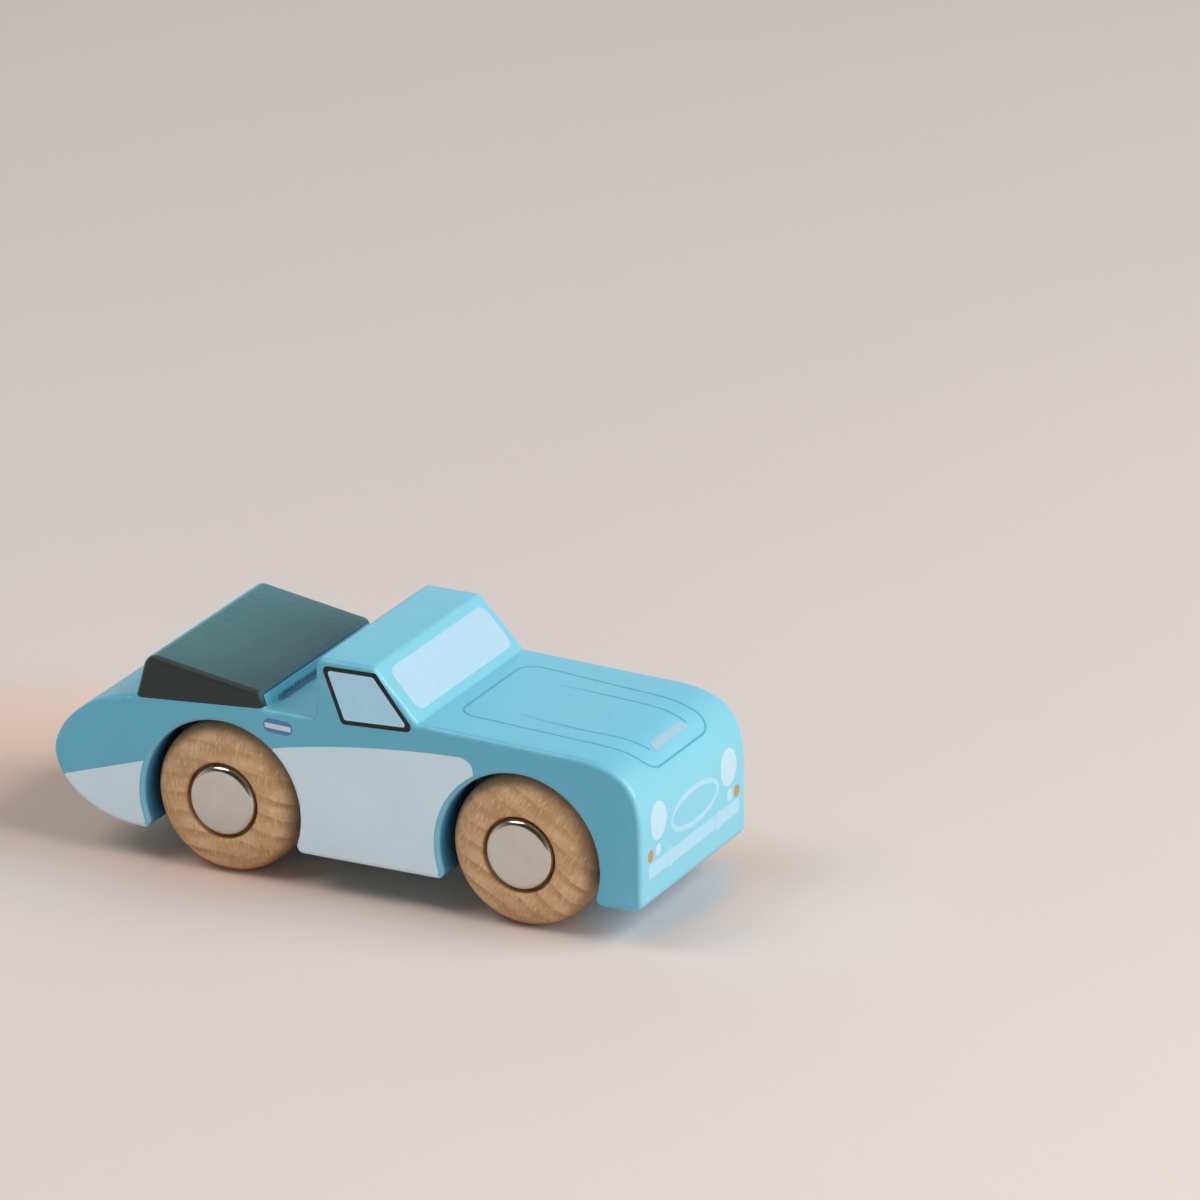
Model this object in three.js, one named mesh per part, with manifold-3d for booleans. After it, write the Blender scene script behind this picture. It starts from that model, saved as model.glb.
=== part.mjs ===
// A wooden toy roadster: one painted hardwood block for the body, two steel axles that run
// through it, four turned beech wheels, and a capped push-on fastener at each axle end.
// Millimetres. +X is forward, +Y is the car's left, +Z is up. The wheels stand on z = 0.

import * as THREE from "three";
import { mergeVertices } from "three/addons/utils/BufferGeometryUtils.js";
import Module from "manifold-3d";

const wasm = await Module();
wasm.setup();

// Running gear
const WHEEL_RADIUS = 13.4;
const WHEEL_WIDTH = 9.0;
const WHEELBASE = 56.0;
const RIM_FRONT_DEPTH = 4.1; // how far the rim's rounding reaches back from the outer face
const RIM_FRONT_RISE = 5.0; // and how far it reaches in from the rim
const RIM_BACK_DEPTH = 3.0;
const RIM_BACK_RISE = 3.5;
const RECESS_RADIUS = 6.7; // hub recess in the wheel's outer face
const RECESS_DEPTH = 2.2;
const RECESS_EDGE = 0.35; // broken edge round the recess
const AXLE_RADIUS = 2.0;

// Capped push-on fastener
const CAP_CLEARANCE = 0.45; // gap between the cap and the recess wall
const CAP_PROUD = 0.2; // how far the cap stands out of the wheel face
const CAP_WALL = 0.5;
const CAP_SHOULDER = 1.1; // rounding between the cap's face and its side
const CAP_LIP = 0.7; // turned-in rim that holds the spring washer
const CAP_LIP_HEIGHT = 0.4;
const SPRING_THICKNESS = 0.35;
const SPRING_TEETH = 6;
const TOOTH_LENGTH = 1.6;
const TOOTH_SLOT_ANGLE = 0.32; // angle, in radians, left open between two teeth

// Fits
const TURNING_FIT = 0.2; // radial gap of the axle in the block and in the wheels
const SEAT_GAP = 0.3; // gap between pieces that bear on each other
const WHEEL_SIDE_PLAY = 0.6; // gap between a wheel's back and the floor of its arch
const ARCH_CLEARANCE = 1.5; // gap between the tread and the arch at the height of the axle
const ARCH_DROP = 0.6; // how far the middle of an arch lies below the axle

// Body block
const BODY_WIDTH = 39.2;
const EDGE_ROUND = 1.0; // rounding along the sides' edges
const ARCH_EDGE_ROUND = 0.8;
const AXLE_ABOVE_UNDERSIDE = 6.9;
const FRONT_OVERHANG = 22.9; // axle to nose
const REAR_OVERHANG = 32.2; // axle to tail
const NOSE_LIFT = 0.4; // underside of the nose above the sill
const TAIL_DROP = 0.5; // underside of the tail below the sill
const NOSE_CHIN_ROUND = 2.0;
const NOSE_CURVE_LENGTH = 14.6; // where the bonnet starts to curve down into the nose
const NOSE_CURVE_HEIGHT = 12.8;
const TAIL_TIP_ABOVE_AXLE = 4.0;

// Fullness of the curved ends: how far each curve follows its end tangent before it turns
const NOSE_FACE_PULL = 0.7;
const NOSE_TOP_PULL = 0.8;
const TAIL_TOP_PULL = 0.47;
const TAIL_TIP_PULL = 0.47;
const TAIL_UNDER_PULL = 0.56;

// Body lengths, chained forward from the rear axle
const SOFT_TOP_BEHIND_AXLE = 16.15;
const SOFT_TOP_LENGTH = 25.0;
const SOFT_TOP_REAR_LEAN = 2.6; // how far its rear wall leans forward
const SOFT_TOP_CROWN = 1.6; // rounding of its top rear edge
const SOFT_TOP_LIP_LEAN = 1.0;
const COCKPIT_LENGTH = 9.2;
const SCREEN_BASE_LENGTH = 19.5;
const SCREEN_TOP_LENGTH = 10.8;
const SCREEN_REAR_LEAN = 0.5;

// Body heights, above the top of the wheel arches
const DECK_RISE = 1.9;
const COCKPIT_RISE = 3.8;
const COWL_RISE = 5.9;
const BONNET_RISE = 5.0;
const SOFT_TOP_RISE = 9.8;
const SOFT_TOP_FRONT_RISE = 6.6;
const SCREEN_RISE = 14.6;

// Facets
const ROUND_STEPS = 5;
const CURVE_STEPS = 10;
const WHEEL_SIDES = 36;
const ARCH_SIDES = 48;
const SMALL_SIDES = 28;
const EDGE_STEPS = 3;
const CUT_OVERRUN = 2.0; // how far a cutter reaches past the face that it opens

// Sizes that follow from those above
const ARCH_RADIUS = WHEEL_RADIUS + ARCH_CLEARANCE;
const AXLE_HEIGHT = WHEEL_RADIUS;
const UNDERSIDE = AXLE_HEIGHT - AXLE_ABOVE_UNDERSIDE;
const ARCH_MIDDLE = AXLE_HEIGHT - ARCH_DROP;
const ARCH_TOP = ARCH_MIDDLE + ARCH_RADIUS;
const BODY_LENGTH = REAR_OVERHANG + WHEELBASE + FRONT_OVERHANG;
const TAIL_X = -BODY_LENGTH / 2;
const NOSE_X = BODY_LENGTH / 2;
const REAR_AXLE_X = TAIL_X + REAR_OVERHANG;
const FRONT_AXLE_X = NOSE_X - FRONT_OVERHANG;
const SIDE_Y = BODY_WIDTH / 2;
const WHEEL_BACK_Y = SIDE_Y - WHEEL_WIDTH;
const ARCH_FLOOR_Y = WHEEL_BACK_Y - WHEEL_SIDE_PLAY;
const BORE_RADIUS = AXLE_RADIUS + TURNING_FIT;
const CAP_RADIUS = RECESS_RADIUS - CAP_CLEARANCE;
const CAP_FACE_Y = SIDE_Y + CAP_PROUD;
const CAP_RIM_Y = SIDE_Y - RECESS_DEPTH + SEAT_GAP;
const AXLE_END_Y = CAP_FACE_Y - CAP_WALL - SEAT_GAP;
const SPRING_RADIUS = CAP_RADIUS - CAP_WALL - SEAT_GAP;
const SPRING_Y = CAP_RIM_Y + CAP_LIP_HEIGHT + SEAT_GAP;

const PAINT = { color: 0x7cc4da, roughness: 0.55, metalness: 0 };
const BEECH = { color: 0xb98d5f, roughness: 0.65, metalness: 0 };
const STEEL = { color: 0x9a9a98, roughness: 0.35, metalness: 1 };
const NICKEL = { color: 0xc4bfb4, roughness: 0.25, metalness: 1 };
const SPRING_STEEL = { color: 0x6f6f70, roughness: 0.4, metalness: 1 };

function addPiece(group, name, geometry, finish) {
  const mesh = new THREE.Mesh(geometry, new THREE.MeshStandardMaterial(finish));
  mesh.name = name;
  group.add(mesh);
}

// Points of a quarter ellipse about (cx, cy), from one angle to another
function arcPoints(cx, cy, rx, ry, from, to, steps) {
  return Array.from({ length: steps + 1 }, (_, i) => {
    const angle = from + ((to - from) * i) / steps;
    return new THREE.Vector2(cx + rx * Math.cos(angle), cy + ry * Math.sin(angle));
  });
}

// Solids for cutting
function solidOf(geometry) {
  const bare = geometry.index ? geometry.toNonIndexed() : geometry.clone();
  bare.deleteAttribute("normal");
  bare.deleteAttribute("uv");
  const merged = mergeVertices(bare);
  return new wasm.Manifold(
    new wasm.Mesh({
      numProp: 3,
      vertProperties: Float32Array.from(merged.attributes.position.array),
      triVerts: Uint32Array.from(merged.index.array),
    }),
  );
}

function geometryOf(solid) {
  const mesh = solid.getMesh();
  const geometry = new THREE.BufferGeometry();
  geometry.setAttribute("position", new THREE.BufferAttribute(mesh.vertProperties, 3));
  geometry.setIndex(new THREE.BufferAttribute(mesh.triVerts, 1));
  geometry.computeVertexNormals();
  return geometry;
}

// Side profile of the block, drawn once round from the rear of the sill
function bodyProfile() {
  const softTopRearX = REAR_AXLE_X - SOFT_TOP_BEHIND_AXLE;
  const lipX = softTopRearX + SOFT_TOP_LENGTH;
  const screenRearX = lipX + COCKPIT_LENGTH;
  const screenFrontX = screenRearX + SCREEN_BASE_LENGTH;
  const screenTopX = screenRearX + SCREEN_REAR_LEAN;
  const bonnetEndX = NOSE_X - NOSE_CURVE_LENGTH;
  const deckZ = ARCH_TOP + DECK_RISE;
  const cockpitZ = ARCH_TOP + COCKPIT_RISE;
  const bonnetZ = ARCH_TOP + BONNET_RISE;
  const crownZ = ARCH_TOP + SOFT_TOP_RISE;
  const screenZ = ARCH_TOP + SCREEN_RISE;
  const tipZ = AXLE_HEIGHT + TAIL_TIP_ABOVE_AXLE;
  const tailZ = UNDERSIDE - TAIL_DROP;
  const chinZ = UNDERSIDE + NOSE_LIFT;
  const tailRun = softTopRearX - TAIL_X;
  const noseRise = bonnetZ - NOSE_CURVE_HEIGHT;

  const rampRun = ARCH_RADIUS / 2; // the underside changes height between the arches

  const outline = new THREE.Shape();
  outline.moveTo(REAR_AXLE_X + rampRun, UNDERSIDE);
  outline.lineTo(FRONT_AXLE_X - rampRun, UNDERSIDE);
  outline.lineTo(FRONT_AXLE_X + rampRun, chinZ);
  outline.lineTo(NOSE_X - NOSE_CHIN_ROUND, chinZ);
  outline.quadraticCurveTo(NOSE_X, chinZ, NOSE_X, chinZ + NOSE_CHIN_ROUND);
  outline.lineTo(NOSE_X, noseRise);
  outline.bezierCurveTo(
    NOSE_X, noseRise + NOSE_CURVE_HEIGHT * NOSE_FACE_PULL,
    bonnetEndX + NOSE_CURVE_LENGTH * NOSE_TOP_PULL, bonnetZ,
    bonnetEndX, bonnetZ,
  );
  outline.lineTo(screenFrontX, ARCH_TOP + COWL_RISE);
  outline.lineTo(screenTopX + SCREEN_TOP_LENGTH, screenZ);
  outline.lineTo(screenTopX, screenZ);
  outline.lineTo(screenRearX, cockpitZ);
  outline.lineTo(lipX, cockpitZ);
  outline.lineTo(lipX - SOFT_TOP_LIP_LEAN, ARCH_TOP + SOFT_TOP_FRONT_RISE);
  outline.lineTo(softTopRearX + SOFT_TOP_REAR_LEAN + SOFT_TOP_CROWN, crownZ);
  outline.quadraticCurveTo(
    softTopRearX + SOFT_TOP_REAR_LEAN, crownZ,
    softTopRearX + SOFT_TOP_REAR_LEAN - SOFT_TOP_CROWN / 2, crownZ - SOFT_TOP_CROWN,
  );
  outline.lineTo(softTopRearX, deckZ);
  outline.bezierCurveTo(
    softTopRearX - tailRun * TAIL_TOP_PULL, deckZ,
    TAIL_X, tipZ + (deckZ - tipZ) * (1 - TAIL_TIP_PULL),
    TAIL_X, tipZ,
  );
  outline.bezierCurveTo(
    TAIL_X, tipZ - (tipZ - tailZ) * TAIL_TIP_PULL,
    softTopRearX - tailRun * TAIL_UNDER_PULL, tailZ,
    softTopRearX, tailZ,
  );
  outline.lineTo(REAR_AXLE_X - rampRun, tailZ);
  return outline;
}

function bodyBlank() {
  const blank = new THREE.ExtrudeGeometry(bodyProfile(), {
    depth: BODY_WIDTH - 2 * EDGE_ROUND,
    curveSegments: CURVE_STEPS,
    bevelEnabled: true,
    bevelThickness: EDGE_ROUND,
    bevelSize: EDGE_ROUND,
    bevelOffset: -EDGE_ROUND,
    bevelSegments: EDGE_STEPS,
  });
  blank.rotateX(Math.PI / 2);
  blank.translate(0, SIDE_Y - EDGE_ROUND, 0);
  return solidOf(blank);
}

// A round pocket with a rounded mouth, open at the side of the block
function archCutter(axleX, turn) {
  const mouth = arcPoints(
    ARCH_RADIUS + ARCH_EDGE_ROUND, SIDE_Y - ARCH_EDGE_ROUND,
    ARCH_EDGE_ROUND, ARCH_EDGE_ROUND, Math.PI, Math.PI / 2, EDGE_STEPS,
  );
  const profile = [
    new THREE.Vector2(0, ARCH_FLOOR_Y),
    new THREE.Vector2(ARCH_RADIUS, ARCH_FLOOR_Y),
    ...mouth,
    new THREE.Vector2(ARCH_RADIUS + ARCH_EDGE_ROUND, SIDE_Y + CUT_OVERRUN),
    new THREE.Vector2(0, SIDE_Y + CUT_OVERRUN),
  ];
  const cutter = new THREE.LatheGeometry(profile, ARCH_SIDES);
  cutter.rotateZ(turn);
  cutter.translate(axleX, 0, ARCH_MIDDLE);
  return solidOf(cutter);
}

function boreCutter(axleX) {
  const bore = new THREE.CylinderGeometry(BORE_RADIUS, BORE_RADIUS, BODY_WIDTH, SMALL_SIDES);
  bore.translate(axleX, 0, AXLE_HEIGHT);
  return solidOf(bore);
}

function bodyGeometry() {
  let block = bodyBlank();
  for (const axleX of [FRONT_AXLE_X, REAR_AXLE_X]) {
    for (const turn of [0, Math.PI]) {
      block = block.subtract(archCutter(axleX, turn));
    }
    block = block.subtract(boreCutter(axleX));
  }
  return geometryOf(block);
}

function axleGeometry() {
  return new THREE.CylinderGeometry(AXLE_RADIUS, AXLE_RADIUS, 2 * AXLE_END_Y, SMALL_SIDES);
}

// A bun-shaped wheel turned about Y: bore, back, rounded rim, face, and the hub recess
function wheelGeometry() {
  const profile = [
    new THREE.Vector2(BORE_RADIUS, WHEEL_BACK_Y),
    ...arcPoints(
      WHEEL_RADIUS - RIM_BACK_RISE, WHEEL_BACK_Y + RIM_BACK_DEPTH,
      RIM_BACK_RISE, RIM_BACK_DEPTH, -Math.PI / 2, 0, ROUND_STEPS,
    ),
    ...arcPoints(
      WHEEL_RADIUS - RIM_FRONT_RISE, SIDE_Y - RIM_FRONT_DEPTH,
      RIM_FRONT_RISE, RIM_FRONT_DEPTH, 0, Math.PI / 2, ROUND_STEPS,
    ),
    new THREE.Vector2(RECESS_RADIUS + RECESS_EDGE, SIDE_Y),
    new THREE.Vector2(RECESS_RADIUS, SIDE_Y - RECESS_EDGE),
    new THREE.Vector2(RECESS_RADIUS, SIDE_Y - RECESS_DEPTH),
    new THREE.Vector2(BORE_RADIUS, SIDE_Y - RECESS_DEPTH),
    new THREE.Vector2(BORE_RADIUS, WHEEL_BACK_Y),
  ];
  return new THREE.LatheGeometry(profile, WHEEL_SIDES);
}

// A pressed cap, open towards the wheel, with its rim turned in
function capGeometry() {
  const innerRadius = CAP_RADIUS - CAP_WALL;
  const profile = [
    new THREE.Vector2(0, CAP_FACE_Y - CAP_WALL),
    new THREE.Vector2(innerRadius, CAP_FACE_Y - CAP_WALL),
    new THREE.Vector2(innerRadius, CAP_RIM_Y + CAP_LIP_HEIGHT),
    new THREE.Vector2(innerRadius - CAP_LIP, CAP_RIM_Y + CAP_LIP_HEIGHT),
    new THREE.Vector2(innerRadius - CAP_LIP, CAP_RIM_Y),
    new THREE.Vector2(CAP_RADIUS, CAP_RIM_Y),
    ...arcPoints(
      CAP_RADIUS - CAP_SHOULDER, CAP_FACE_Y - CAP_SHOULDER,
      CAP_SHOULDER, CAP_SHOULDER, 0, Math.PI / 2, ROUND_STEPS,
    ),
    new THREE.Vector2(0, CAP_FACE_Y),
  ];
  return new THREE.LatheGeometry(profile, SMALL_SIDES);
}

// A toothed spring washer: a flat ring whose teeth reach in to grip the axle
function springGeometry() {
  const gripRadius = AXLE_RADIUS + SEAT_GAP;
  const ring = new THREE.Shape();
  ring.absarc(0, 0, SPRING_RADIUS, 0, 2 * Math.PI, false);
  const toothPitch = (2 * Math.PI) / SPRING_TEETH;
  const rim = [];
  for (let tooth = 0; tooth < SPRING_TEETH; tooth += 1) {
    const start = tooth * toothPitch;
    const slot = start + toothPitch - TOOTH_SLOT_ANGLE;
    rim.push(...arcPoints(0, 0, gripRadius, gripRadius, start, slot, 2));
    const root = gripRadius + TOOTH_LENGTH;
    rim.push(...arcPoints(0, 0, root, root, slot, start + toothPitch, 1));
  }
  ring.holes.push(new THREE.Path(rim.reverse()));
  const washer = new THREE.ExtrudeGeometry(ring, {
    depth: SPRING_THICKNESS,
    curveSegments: SMALL_SIDES / 2,
    bevelEnabled: false,
  });
  washer.rotateX(-Math.PI / 2);
  washer.translate(0, SPRING_Y, 0);
  return washer;
}

const car = new THREE.Group();
addPiece(car, "body", bodyGeometry(), PAINT);
for (const [end, axleX] of [["front", FRONT_AXLE_X], ["rear", REAR_AXLE_X]]) {
  const axleLine = new THREE.Group();
  axleLine.position.set(axleX, 0, AXLE_HEIGHT);
  car.add(axleLine);
  addPiece(axleLine, `${end}_axle`, axleGeometry(), STEEL);
  for (const [hand, turn] of [["left", 0], ["right", Math.PI]]) {
    const axleEnd = new THREE.Group();
    axleEnd.rotation.z = turn;
    axleLine.add(axleEnd);
    addPiece(axleEnd, `${end}_${hand}_wheel`, wheelGeometry(), BEECH);
    addPiece(axleEnd, `${end}_${hand}_axle_cap`, capGeometry(), NICKEL);
    addPiece(axleEnd, `${end}_${hand}_cap_spring`, springGeometry(), SPRING_STEEL);
  }
}

export default car;
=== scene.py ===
"""Looks of a wooden toy car: painted block, prints, turned beech wheels, bright axle caps."""

import math

import bmesh
import bpy
import numpy as np
from mathutils import Matrix, Vector


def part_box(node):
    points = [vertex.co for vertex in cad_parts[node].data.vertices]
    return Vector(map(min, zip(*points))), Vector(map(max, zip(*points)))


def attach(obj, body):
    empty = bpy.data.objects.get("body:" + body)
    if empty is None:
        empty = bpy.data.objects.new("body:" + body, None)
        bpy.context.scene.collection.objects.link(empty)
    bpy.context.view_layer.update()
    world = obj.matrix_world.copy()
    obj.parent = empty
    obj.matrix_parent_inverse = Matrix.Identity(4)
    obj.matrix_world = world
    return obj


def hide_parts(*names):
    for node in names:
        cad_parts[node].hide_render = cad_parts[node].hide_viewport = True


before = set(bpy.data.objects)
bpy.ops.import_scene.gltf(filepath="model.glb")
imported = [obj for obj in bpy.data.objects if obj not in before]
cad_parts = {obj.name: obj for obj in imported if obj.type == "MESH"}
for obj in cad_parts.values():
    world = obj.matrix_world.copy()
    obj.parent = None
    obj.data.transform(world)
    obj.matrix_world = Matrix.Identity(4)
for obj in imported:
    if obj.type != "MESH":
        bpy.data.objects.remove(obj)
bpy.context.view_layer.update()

bl_info = {
    "name": "Wooden Toy Car",
    "version": (1, 0, 0),
    "blender": (4, 5, 0),
    "location": "View3D > Sidebar > Toy Car",
    "description": "Builds the painted block, prints, wheels and caps of a wooden toy car",
    "category": "Add Mesh",
}

MM = 0.001
ENDS = ("front", "rear")
HANDS = {"left": 1, "right": -1}
SIDES = (-1, 1)


def srgb(red, green, blue):
    """Linear colour of an 8-bit screen colour: the usual power curve with its straight foot."""
    level = np.array([red, green, blue]) / 255
    return tuple(np.where(level <= 0.04045, level / 12.92, ((level + 0.055) / 1.055) ** 2.4))


def place_of(node):
    """Centre of a CAD node, in millimetres."""
    low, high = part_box(node)
    return (np.array(low) + np.array(high)) / 2 / MM


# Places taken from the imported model, in millimetres
BODY_LOW, BODY_HIGH = (np.array(corner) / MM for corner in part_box("body"))
SIDE_Y = BODY_HIGH[1]
TAIL_X = BODY_LOW[0]
AXLES = {end: place_of(f"{end}_axle")[[0, 2]] for end in ENDS}
WHEEL_RADIUS = AXLES["front"][1]
WHEEL_BACK_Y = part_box("front_left_wheel")[0][1] / MM
CAP_FACE_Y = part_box("front_left_axle_cap")[1][1] / MM
CAP_RIM_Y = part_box("front_left_axle_cap")[0][1] / MM
CAP_RADIUS = place_of("front_left_axle_cap")[2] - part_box("front_left_axle_cap")[0][2] / MM
AXLE_RADIUS = place_of("front_axle")[2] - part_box("front_axle")[0][2] / MM

# Side profile of the block, in millimetres
ARCH_RADIUS = WHEEL_RADIUS + 1.5
ARCH_DROP = 0.6
ARCHES = {end: axle - [0, ARCH_DROP] for end, axle in AXLES.items()}
ARCH_FLOOR_Y = WHEEL_BACK_Y - 0.6
BORE_RADIUS = AXLE_RADIUS + 0.2
TAIL_UNDER_Z = 6.0
SILL_Z = 6.5
CHIN_Z = 6.9
CHIN_ROUND = 2.0
NOSE_TOP_Z = 19.9
NOSE_FACE_REACH = 8.96
BONNET_END = np.array([40.95, 32.7])
BONNET_END_REACH = 11.68
SCREEN_FOOT = np.array([14.2, 33.6])
SCREEN_FRONT = np.array([6.0, 42.3])
SCREEN_REAR = np.array([-4.8, 42.3])
COCKPIT_FRONT = np.array([-5.3, 31.5])
LIP_FOOT = np.array([-14.5, 31.5])
LIP_TOP = np.array([-15.5, 34.3])
CROWN_FRONT = np.array([-35.3, 37.5])
CROWN = np.array([-36.9, 37.5])
CROWN_REAR = np.array([-37.7, 35.9])
DECK = np.array([-39.5, 29.6])
TAIL_TIP_Z = 17.4
TAIL_PULL = 0.47
TAIL_UNDER_PULL = 0.56
SCREEN_FOOT_ROUND = 0.8
SCREEN_FRONT_ROUND = 1.6
SCREEN_REAR_ROUND = 1.4
COCKPIT_ROUND = 0.5
LIP_ROUND = 1.25
LIP_PLAIN = 0.8
DECK_ROUND = 0.6
ARC_STEPS = 12
CURVE_STEPS = 64
ARCH_STEPS = 120
ROUND_RINGS = 9
EDGE_STRIP = 0.12
UNDERSIDE_STEPS = 14

# Paint lines on the side, in millimetres
TAIL_LINE_Z = 12.75
TAIL_LINE_ARCH_Z = 18.05
PANEL_REAR_Z = 24.2
PANEL_FRONT_Z = 25.5
PANEL_PULLS = np.array([[-2.5, 27.3], [11.0, 28.75]])
PANEL_CORNER = np.array([21.0, 29.1])
PANEL_CORNER_PULLS = np.array([[23.2, 29.3], [24.6, 28.4]])
PANEL_STEPS = 40
BLUE, WHITE, DARK, DEEP = range(4)

# Prints: places along the bonnet are measured from the foot of the screen, in millimetres
WINDOW = np.array([[-3.7, 41.2], [0.0, 31.3], [13.9, 32.0], [6.4, 41.4]])
WINDOW_LINE = 0.78
WINDOW_ROUND = 0.9
HANDLE = np.array([[-14.9, 27.6], [-9.4, 27.4], [-9.4, 29.9], [-14.9, 30.1]])
HANDLE_ROUND = 1.2
HANDLE_STRIPE = np.array([[-14.6, 28.35], [-9.7, 28.15], [-9.7, 29.05], [-14.6, 29.25]])
HANDLE_STRIPE_ROUND = 0.2
SCREEN_PRINT = np.array([[-1.6, -16.6], [-1.6, 17.4], [-10.2, 17.4], [-10.2, -16.2]])
SCREEN_PRINT_ROUND = 1.9
BONNET_PRINT = np.array([[3.05, -11.8], [31.0, -12.6], [40.4, -11.1], [40.4, 11.0], [3.05, 13.7]])
BONNET_PRINT_ROUND = 3.6
BONNET_LINE = 0.42
CREASES = np.array([[[12.7, -7.0], [28.0, -7.9], [37.0, -7.0]], [[12.7, 7.7], [20.0, 7.6], [37.0, 6.6]]])
VENT = np.array([[35.9, -5.2], [37.7, -6.4], [37.7, 6.4], [35.9, 5.2]])
VENT_ROUND = 0.4
GRILLE_PLACE = np.array([50.15, 0.3])
GRILLE_HALF = np.array([3.55, 9.0])
GRILLE_LINE = 1.0
LAMP_PLACE = np.array([48.1, 13.1])
LAMP_HALF = np.array([3.3, 3.0])
SIDELIGHT_PLACE = np.array([53.15, 13.4])
SIDELIGHT_HALF = np.array([1.05, 1.0])
INDICATOR_PLACE = np.array([53.4, 16.1])
INDICATOR_HALF = np.array([1.1, 1.0])
BUMPER = np.array([[54.8, -16.9], [57.4, -16.9], [57.4, 16.9], [54.8, 16.9]])
BUMPER_ROUND = 0.5
OVERRIDER_Y = 8.9
OVERRIDER = np.array([[54.45, -0.9], [57.85, -0.9], [57.85, 0.9], [54.45, 0.9]])
OVERRIDER_ROUND = 0.6
PRINT_STEPS = 9
PRINT_LEVELS = 7
PRINT_GAP = 0.25
BAND_ROWS = 5
OVAL_POINTS = 72
CREASE_POINTS = 60
CREASE_TAPER = np.array([0.1, 2.2, 0.9])

# Turned wheels and pressed caps, in millimetres
RIM_FRONT = np.array([5.0, 4.1])
RIM_BACK = np.array([3.5, 3.0])
RECESS_RADIUS = 6.7
RECESS_DEPTH = 2.2
RECESS_EDGE = 0.7
WHEEL_SIDES = 192
RIM_STEPS = 20
CAP_WALL = 0.5
CAP_SHOULDER = 1.1
CAP_CROWN = 0.12
CAP_LIP = 0.7
CAP_LIP_HEIGHT = 0.4
CAP_SIDES = 128
GRAIN_TURNS = {"front_right": 0.55, "rear_right": 0.08, "front_left": 2.4, "rear_left": 4.0}

# Camera of the photograph: the frame is a square, in pixels and millimetres
FRAME_PIXELS = 1200
FOCAL_PIXELS = 9847.3
SENSOR = 36.0
CAMERA_AZIMUTH = math.radians(26.995)
CAMERA_ELEVATION = math.radians(20.778)
CAMERA_ROLL = math.radians(0.588)
CAMERA_AIM = np.array([39.51, -2.16, 53.80])
CAMERA_DISTANCE = 1625.3

# Floor: its half size, and the middle and half sizes of its two ovals of painted shadow tone, warm round
# the car and cool under the nose, in metres
FLOOR_REACH = 4.0
WARM_SHADOW_OVAL = (-0.038, 0.012, 0), (0.118, 0.05, 1)
COOL_SHADOW_OVAL = (0.048, 0.003, 0), (0.012, 0.026, 1)


def colour(label, about, value):
    """A colour property with its linear default."""
    return bpy.props.FloatVectorProperty(
        name=label, description=about, subtype="COLOR", size=3, min=0, max=1, default=value
    )


def length(label, about, value):
    """A length property with its default in millimetres."""
    return bpy.props.FloatProperty(
        name=label, description=about, unit="LENGTH", min=0, precision=5, default=value * MM
    )


def power(label, about, value):
    """A lamp's power with its default in watts."""
    return bpy.props.FloatProperty(name=label, description=about, unit="POWER", min=0, default=value)


class CarBodySettings(bpy.types.PropertyGroup):
    """Edges and prints of the block"""

    edge_round: length("Edge Round", "Rounding along the edges of the side", 1.0)
    arch_round: length("Arch Round", "Rounding along the mouth of each wheel arch", 0.8)
    foot_round: length("Foot Round", "Rounding where an arch meets the underside", 1.3)
    print_lift: length("Print Lift", "How far the printed ink stands on the paint", 0.02)


class CarPaintSettings(bpy.types.PropertyGroup):
    """Colours of the paint and the inks"""

    body: colour("Body", "Pale blue of the block", srgb(99, 183, 211))
    # The pocket's deeper blue is painted light: the body blue as it looks after bouncing between the arch's
    # walls.
    pocket: colour("Pocket", "Deeper blue inside the arches", srgb(84, 166, 216))
    panel: colour("Panel", "Near white of the lower sides", srgb(215, 238, 250))
    soft_top: colour("Soft Top", "Charcoal of the folded top", srgb(40, 36, 30))
    outline: colour("Outline", "Black line round a window", srgb(8, 12, 18))
    window: colour("Window", "Pale blue inside a window", srgb(179, 226, 252))
    screen: colour("Screen", "Pale ink of the windscreen", srgb(163, 198, 218))
    crease: colour("Crease", "Darker blue of the bonnet lines", srgb(64, 157, 187))
    vent: colour("Vent", "Grey of the bonnet vent", srgb(150, 184, 201))
    lamp: colour("Lamp", "White of the lamps", srgb(170, 202, 219))
    trim: colour("Trim", "Pale ink of the grille and bumper", srgb(154, 198, 218))
    indicator: colour("Indicator", "Orange of the indicators", srgb(172, 128, 84))
    handle: colour("Handle", "Blue of the door handle", srgb(76, 131, 180))
    stripe: colour("Stripe", "White line on the door handle", srgb(212, 224, 238))


class CarWheelSettings(bpy.types.PropertyGroup):
    """Wood and metal of the wheels"""

    beech: colour("Beech", "Light wood between the growth rings", srgb(215, 179, 138))
    ring: colour("Ring", "Darker wood of the growth rings", srgb(178, 129, 84))
    # Painted shade round the hub recess, in a darker tone of the wood.
    recess_shade: colour("Recess Shade", "Dark edge of the hub recess", srgb(190, 145, 105))
    ring_spacing: length("Ring Spacing", "Distance between growth rings", 3.2)
    nickel: colour("Nickel", "Plating of the axle caps", srgb(211, 208, 199))
    steel: colour("Steel", "Bright drawn axle", srgb(168, 168, 166))
    spring: colour("Spring", "Tempered spring steel", srgb(112, 112, 116))


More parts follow.
